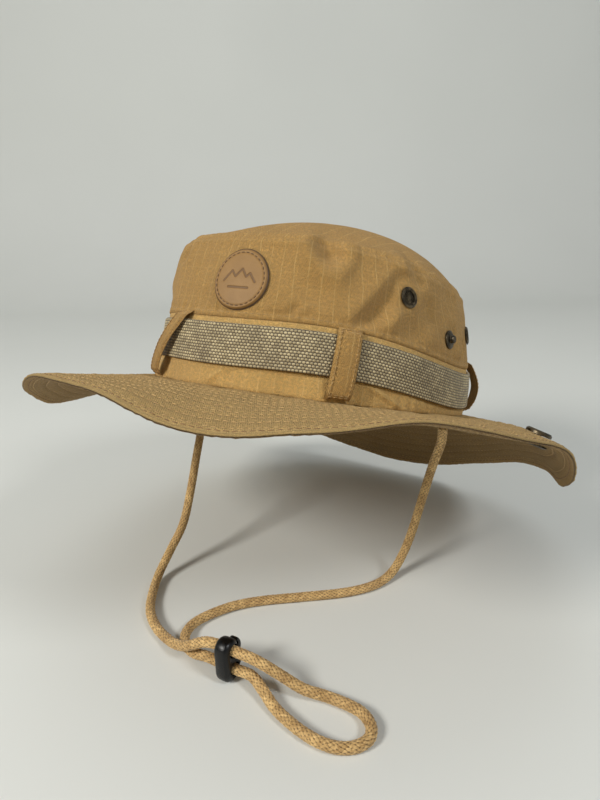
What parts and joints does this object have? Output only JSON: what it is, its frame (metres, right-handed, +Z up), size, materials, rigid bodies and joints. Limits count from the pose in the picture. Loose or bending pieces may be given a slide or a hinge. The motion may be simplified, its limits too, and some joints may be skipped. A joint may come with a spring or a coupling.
{
  "type": "boonie hat",
  "caption": "Wide-brimmed soft cloth hat with a webbing hat band, snap-up brim sides, screened vents, round badge and a sliding chin cord lock.",
  "frame": {"origin": "centre of the crown opening at the brim seam, where a head holds the hat", "axes": "+Z up as worn, -Y towards the hat's front, +X towards the wearer's left; the hat is tipped back 18 degrees about X, and its chin cord lies on a level surface 102 mm below the origin"},
  "size_m": [0.2932, 0.2862, 0.1998],
  "materials": {
    "cloth": "matte",
    "sweatband_cloth": "matte",
    "interlining": "matte",
    "webbing": "matte",
    "leather": "satin",
    "bronze": "satin",
    "cord": "matte",
    "black_plastic": "gloss",
    "spring_steel": "satin"
  },
  "bodies": {
    "root": {"crown_tip": "cloth", "crown_side": "cloth", "crown_lower_band": "cloth", "sweatband": "sweatband_cloth", "brim_top_cloth": "cloth", "brim_interlining": "interlining", "brim_under_cloth": "cloth", "hat_band": "webbing", "keeper_front_left": "cloth", "keeper_front_right": "cloth", "keeper_rear_left": "cloth", "keeper_rear_right": "cloth", "badge": "leather", "vent_eyelets": "bronze", "vent_washers": "bronze", "vent_screens": "bronze", "crown_snap_studs": "bronze", "crown_snap_rivets": "bronze", "cord_anchor_left": "cloth", "cord_anchor_right": "cloth", "chin_cord": "cord"},
    "left_brim_flap": {"left_flap_top_cloth": "cloth", "left_flap_interlining": "interlining", "left_flap_under_cloth": "cloth", "left_snap_socket": "bronze", "left_snap_cap": "bronze"},
    "right_brim_flap": {"right_flap_top_cloth": "cloth", "right_flap_interlining": "interlining", "right_flap_under_cloth": "cloth", "right_snap_socket": "bronze", "right_snap_cap": "bronze"},
    "cord_lock": {"cord_lock_body": "black_plastic", "cord_lock_spring": "spring_steel"},
    "lock_plunger": {"cord_lock_plunger": "black_plastic"}
  },
  "joints": [
    {"name": "left_brim_fold", "type": "hinge", "parent": "root", "child": "left_brim_flap", "pos_m": [0.092, 0.00056, 0.00171], "axis": [0, -0.9511, 0.309], "range_deg": [0, 100], "stiffness_Nm_per_rad": 0.03},
    {"name": "right_brim_fold", "type": "hinge", "parent": "root", "child": "right_brim_flap", "pos_m": [-0.092, 0.00056, 0.00171], "axis": [0, 0.9511, -0.309], "range_deg": [0, 100], "stiffness_Nm_per_rad": 0.03},
    {"name": "lock_slide", "type": "slide", "parent": "root", "child": "cord_lock", "axis": [1, 0, 0], "range_m": [0, 0.008]},
    {"name": "plunger_press", "type": "slide", "parent": "cord_lock", "child": "lock_plunger", "axis": [0, -1, 0], "range_m": [0, 0.0022], "stiffness_N_per_m": 300, "springref_m": -0.004, "deforming": ["cord_lock_spring"]}
  ]
}
